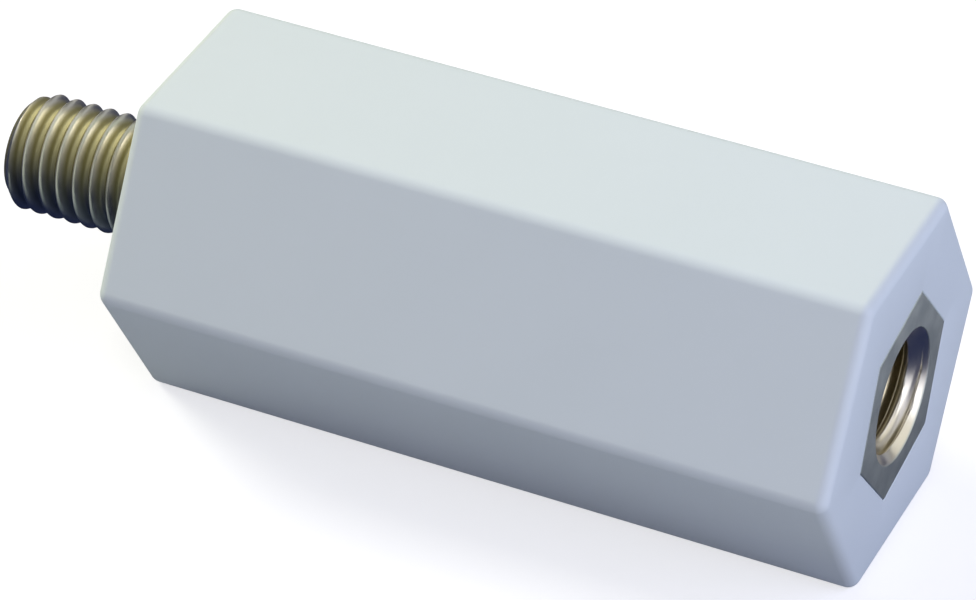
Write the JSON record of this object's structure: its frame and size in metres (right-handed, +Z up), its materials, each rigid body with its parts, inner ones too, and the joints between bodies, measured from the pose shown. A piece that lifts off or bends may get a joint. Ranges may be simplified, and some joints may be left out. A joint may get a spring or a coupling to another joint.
{
  "type": "insulating standoff",
  "caption": "Hexagonal insulating standoff: a pale moulded plastic body with a threaded metal stud at one end and a tapped metal insert flush with the other.",
  "frame": {"origin": "centre of the end face that the stud stands out of, on the axis", "axes": "+X along the axis towards the tapped hole, so the stud points to -X; +Z up, square to the flat opposite the one that the part lies on; +Y completes the right-handed frame"},
  "size_m": [0.062, 0.025, 0.022],
  "materials": {
    "body_plastic": "satin moulded plastic, cool off-white",
    "stud_steel": "zinc plated, yellow passivated",
    "insert_steel": "zinc plated, with a grey rim and a bright tapped hole"
  },
  "bodies": {
    "root": {"insulating_body": "body_plastic", "threaded_stud": "stud_steel", "tapped_insert": "insert_steel"}
  },
  "joints": []
}
